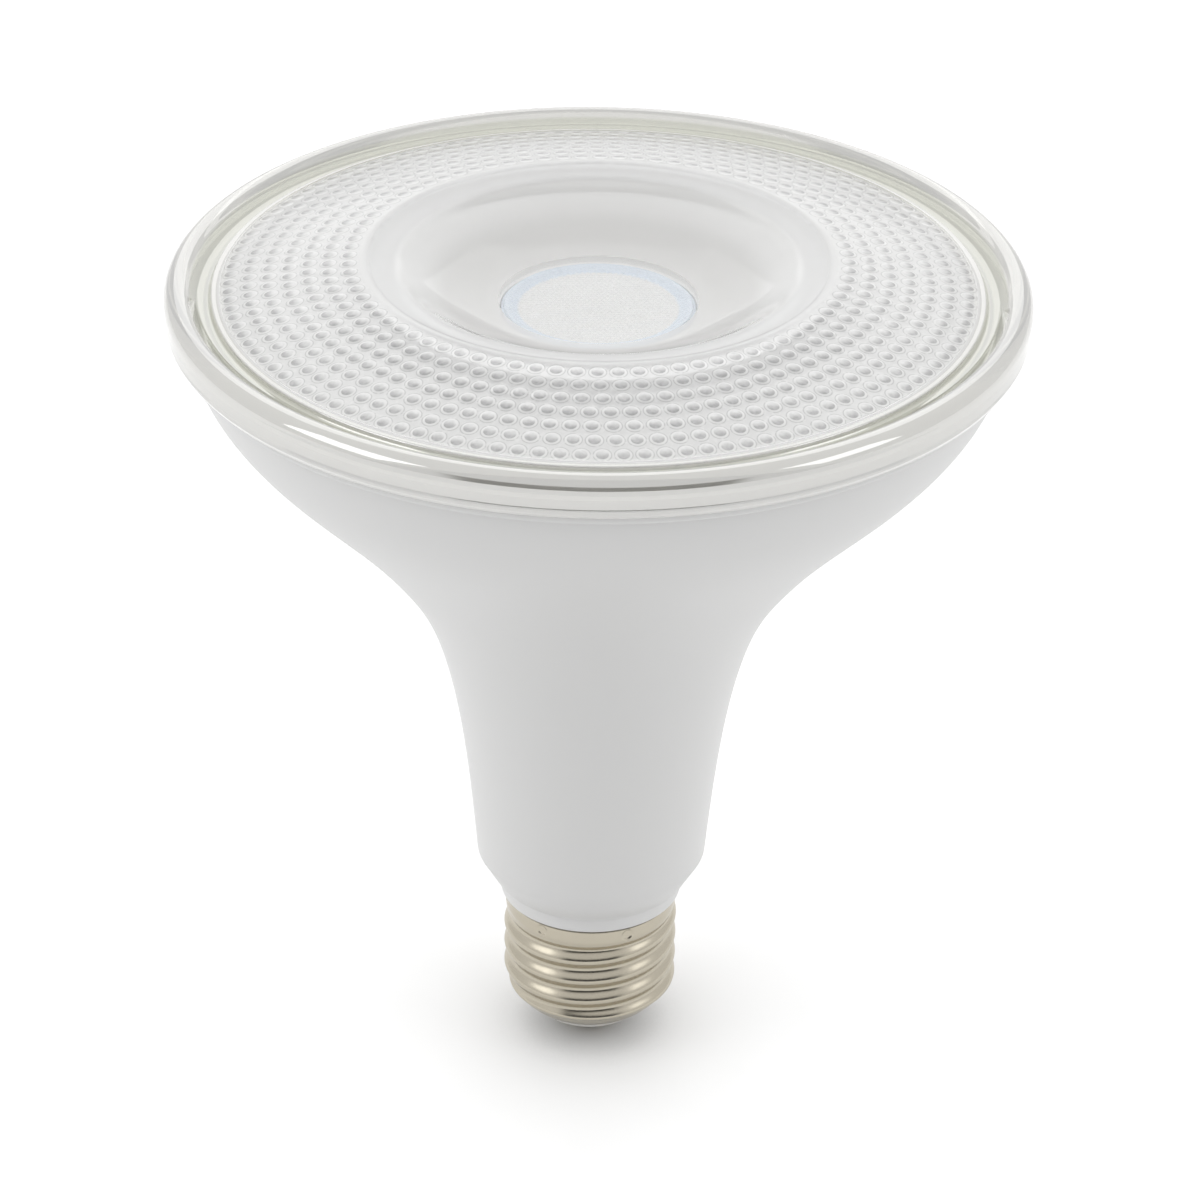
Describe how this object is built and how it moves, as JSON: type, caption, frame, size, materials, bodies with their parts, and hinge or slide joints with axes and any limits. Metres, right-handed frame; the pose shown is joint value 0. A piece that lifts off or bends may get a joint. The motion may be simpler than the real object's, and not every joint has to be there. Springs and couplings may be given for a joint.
{
  "type": "par spotlight bulb",
  "caption": "Reflector-shaped LED flood bulb with a clear dimpled front lens, a white trumpet housing and a medium screw base.",
  "frame": {"origin": "tip of the centre contact, on the bulb's axis", "axes": "+Z from the centre contact up the axis to the front lens; the bulb is round about Z, and -Y is the side that the picture shows in front"},
  "size_m": [0.1212, 0.1212, 0.1295],
  "materials": {
    "contact_metal": "nickel plated, satin",
    "insulator_plastic": "moulded",
    "shell_metal": "nickel plated, polished",
    "housing_plastic": "fine satin",
    "seal_rubber": "matt",
    "lens_plastic": "clear, polished",
    "white_plastic": "satin white",
    "collimator_plastic": "clear, micro-textured face",
    "led_board_finish": "white solder mask",
    "pad_rubber": "soft matt",
    "led_carrier": "ceramic white",
    "phosphor": "silicone yellow",
    "screw_steel": "zinc plated",
    "spun_aluminium": "spun",
    "sleeve_plastic": "moulded white",
    "circuit_board": "green solder mask",
    "coil_tape": "yellow tape",
    "ferrite": "ground ferrite",
    "capacitor_sleeve": "shrink sleeve",
    "film_box": "moulded box",
    "black_resin": "moulded resin",
    "resistor_coat": "lacquer",
    "varistor_coat": "epoxy dip",
    "black_wire": "insulation",
    "white_wire": "insulation",
    "red_wire": "insulation"
  },
  "bodies": {
    "root": {"centre_contact": "contact_metal", "base_insulator": "insulator_plastic", "screw_shell": "shell_metal", "housing": "housing_plastic", "seal_ring": "seal_rubber", "front_lens": "lens_plastic", "reflector_ring": "white_plastic", "collimator_lens": "collimator_plastic", "lens_holder": "white_plastic", "led_board": "led_board_finish", "heat_pad": "pad_rubber", "led_array": "led_carrier", "phosphor_disc": "phosphor", "wire_connector": "white_plastic", "board_screws": "screw_steel", "led_plate": "spun_aluminium", "heat_sink": "spun_aluminium", "insulating_sleeve": "sleeve_plastic", "driver_cover": "sleeve_plastic", "driver_board": "circuit_board", "transformer_coil": "coil_tape", "transformer_core": "ferrite", "input_capacitor": "capacitor_sleeve", "output_capacitor": "capacitor_sleeve", "film_capacitor": "film_box", "bridge_rectifier": "black_resin", "switching_chip": "black_resin", "filter_inductor": "ferrite", "fuse_resistor": "resistor_coat", "varistor_disc": "varistor_coat", "live_wire": "black_wire", "neutral_wire": "white_wire", "positive_wire": "red_wire", "negative_wire": "black_wire"}
  },
  "joints": []
}
